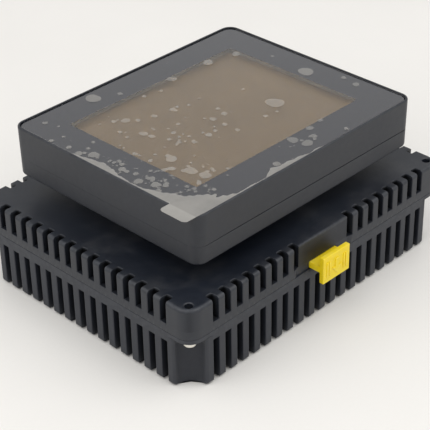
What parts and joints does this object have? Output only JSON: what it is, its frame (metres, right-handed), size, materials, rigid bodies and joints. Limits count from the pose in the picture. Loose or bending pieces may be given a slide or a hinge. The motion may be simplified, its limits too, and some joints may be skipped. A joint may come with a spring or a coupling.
{
  "type": "hmi touch panel",
  "caption": "Touch screen module joined by a round neck to a finned controller box, with a sliding display lock on one side.",
  "frame": {"origin": "centre of the flat back face of the controller module, on the surface that it lies on", "axes": "+Z out of the screen, +X towards the screen's right edge, +Y towards the screen's top edge, the side with the lock slide"},
  "size_m": [0.117, 0.099, 0.0538],
  "materials": {
    "shell_plastic": "fine textured moulding",
    "overlay_sheet": "smooth printed polyester",
    "clear_film": "thin clear peel-off film with air bubbles",
    "lcd_glass": "switched-off screen",
    "lock_yellow": "moulded",
    "black_plastic": "moulded",
    "screw_steel": "bright plated",
    "socket_metal": "tinned sheet",
    "can_aluminium": "plain can",
    "circuit_board": "solder mask",
    "flex_circuit": "polyimide",
    "gasket_rubber": "moulded",
    "blank_label": "plain foil, no print"
  },
  "bodies": {
    "controller": {"rear_lower_housing": "shell_plastic", "rear_top_cover": "shell_plastic", "cover_screw_1": "screw_steel", "cover_screw_2": "screw_steel", "cover_screw_3": "screw_steel", "cover_screw_4": "screw_steel", "main_board": "circuit_board", "processor": "black_plastic", "supply_capacitor": "can_aluminium", "supply_inductor": "black_plastic", "clock_battery": "screw_steel", "battery_holder": "black_plastic", "buzzer": "black_plastic", "power_inlet": "black_plastic", "serial_socket": "socket_metal", "ethernet_socket": "socket_metal", "usb_host_socket": "socket_metal", "usb_device_socket": "socket_metal", "neck_socket": "black_plastic", "rating_label": "blank_label"},
    "lock": {"lock_slide": "lock_yellow"},
    "display": {"front_bezel": "shell_plastic", "display_back_shell": "shell_plastic", "display_screw_1": "screw_steel", "display_screw_2": "screw_steel", "display_screw_3": "screw_steel", "display_screw_4": "screw_steel", "touch_overlay": "overlay_sheet", "protective_film": "clear_film", "lcd_panel": "lcd_glass", "backlight_tray": "socket_metal", "display_board": "circuit_board", "screen_ribbon": "flex_circuit", "panel_gasket": "gasket_rubber", "neck_tube": "shell_plastic", "neck_connector": "black_plastic", "rotation_key": "black_plastic"},
    "nut": {"fixing_nut": "black_plastic"}
  },
  "joints": [
    {"name": "lock_push", "type": "slide", "parent": "controller", "child": "lock", "axis": [0, -1, 0], "range_m": [0, 0.0033]},
    {"name": "display_lift", "type": "slide", "parent": "controller", "child": "display", "axis": [0, 0, 1], "range_m": [0, 0.012]},
    {"name": "nut_turn", "type": "hinge", "parent": "display", "child": "nut", "pos_m": [-0.001, 0, 0.0315], "axis": [0, 0, 1], "range_deg": [0, 900]}
  ]
}
